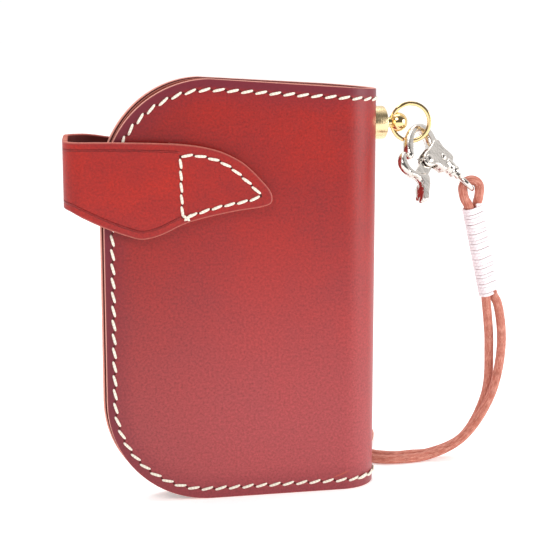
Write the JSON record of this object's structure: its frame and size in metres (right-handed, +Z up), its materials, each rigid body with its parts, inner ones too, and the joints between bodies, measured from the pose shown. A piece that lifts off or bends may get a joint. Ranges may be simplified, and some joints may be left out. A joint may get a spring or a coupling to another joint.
{
  "type": "bifold wallet",
  "caption": "Upright bifold leather wallet with a closing strap and a round wrist cord on a swivel clasp at its spine.",
  "frame": {"origin": "on the standing plane, in the middle of the thickness of the spine's leather, where the spine's foot stands", "axes": "+X out of the spine towards the stud, -Y out of the front cover, +Z up along the spine"},
  "size_m": [0.1303, 0.0601, 0.116],
  "materials": {
    "red_leather": "smooth vegetable-tanned leather, satin",
    "lining_leather": "thin matt lining leather",
    "cream_thread": "waxed linen thread",
    "brass": "polished, with a brushed base",
    "nickel": "polished nickel plate",
    "magnet_steel": "plated disc magnet",
    "cord_leather": "round leather cord, undyed to red-brown",
    "white_thread": "white waxed thread, close wound"
  },
  "bodies": {
    "rear": {"rear_cover": "red_leather", "rear_lining": "lining_leather", "rear_card_pocket": "lining_leather", "rear_ticket_pocket": "lining_leather", "rear_cover_stitches": "cream_thread", "strap_anchor": "red_leather", "anchor_backing": "lining_leather", "anchor_stitches": "cream_thread"},
    "spine": {"spine_leather": "red_leather", "spine_lining": "lining_leather", "spine_foot_stitches": "cream_thread", "spine_top_stitches": "cream_thread", "stud_base": "brass", "stud_screw": "brass"},
    "front": {"front_cover": "red_leather", "front_lining": "lining_leather", "front_card_pocket": "lining_leather", "front_ticket_pocket": "lining_leather", "front_cover_stitches": "cream_thread", "cover_magnet": "magnet_steel"},
    "strap": {"strap_tongue": "red_leather", "strap_backing": "lining_leather", "strap_magnet": "magnet_steel", "tongue_stitches": "cream_thread"},
    "post": {"ball_post": "brass"},
    "ring": {"split_ring": "brass"},
    "clasp": {"clasp_hook": "nickel", "lever_pin": "nickel", "clasp_rivet": "nickel", "lever_spring": "nickel"},
    "lever": {"clasp_lever": "nickel"},
    "eye": {"swivel_eye": "nickel"},
    "lanyard": {"wrist_cord": "cord_leather", "cord_whipping": "white_thread"}
  },
  "joints": [
    {"name": "rear_fold", "type": "hinge", "parent": "rear", "child": "spine", "pos_m": [-0.00247, 0.00778, 0.056], "axis": [0, 0, 1], "range_deg": [0, 90]},
    {"name": "front_fold", "type": "hinge", "parent": "spine", "child": "front", "pos_m": [-0.00247, -0.00778, 0.056], "axis": [0, 0, 1], "range_deg": [0, 90]},
    {"name": "strap_lift", "type": "hinge", "parent": "rear", "child": "strap", "pos_m": [-0.08725, 0, 0.091], "axis": [0, 0, -1], "range_deg": [0, 120], "deforming": ["strap_tongue", "strap_backing", "strap_magnet", "tongue_stitches"]},
    {"name": "post_swivel", "type": "hinge", "parent": "spine", "child": "post", "pos_m": [0, 0, 0.1025], "axis": [1, 0, 0], "continuous": true},
    {"name": "ring_swing", "type": "hinge", "parent": "post", "child": "ring", "pos_m": [0.0068, 0, 0.1025], "axis": [0, 0, 1], "range_deg": [-50, 50]},
    {"name": "clasp_swing", "type": "hinge", "parent": "ring", "child": "clasp", "pos_m": [0.01417, -0.00268, 0.09803], "axis": [0.7969, -0.29, 0.5299], "range_deg": [-25, 25]},
    {"name": "lever_open", "type": "hinge", "parent": "clasp", "child": "lever", "pos_m": [0.01471, -0.00611, 0.09198], "axis": [-0.322, 0.8114, -0.4878], "range_deg": [0, 17], "stiffness_Nm_per_rad": 0.005, "springref_deg": -28.65, "deforming": ["lever_spring"]},
    {"name": "eye_swivel", "type": "hinge", "parent": "clasp", "child": "eye", "pos_m": [0.01082, -0.00243, 0.10066], "axis": [0.7179, -0.1266, -0.6845], "continuous": true},
    {"name": "cord_swing", "type": "hinge", "parent": "eye", "child": "lanyard", "pos_m": [0.02894, -0.00563, 0.08338], "axis": [0.1736, 0.9848, 0], "range_deg": [-30, 30], "stiffness_Nm_per_rad": 0.002, "deforming": ["wrist_cord"]}
  ],
  "couplings": [
    {"joint": "front_fold", "follows": "rear_fold", "ratio": 1}
  ]
}
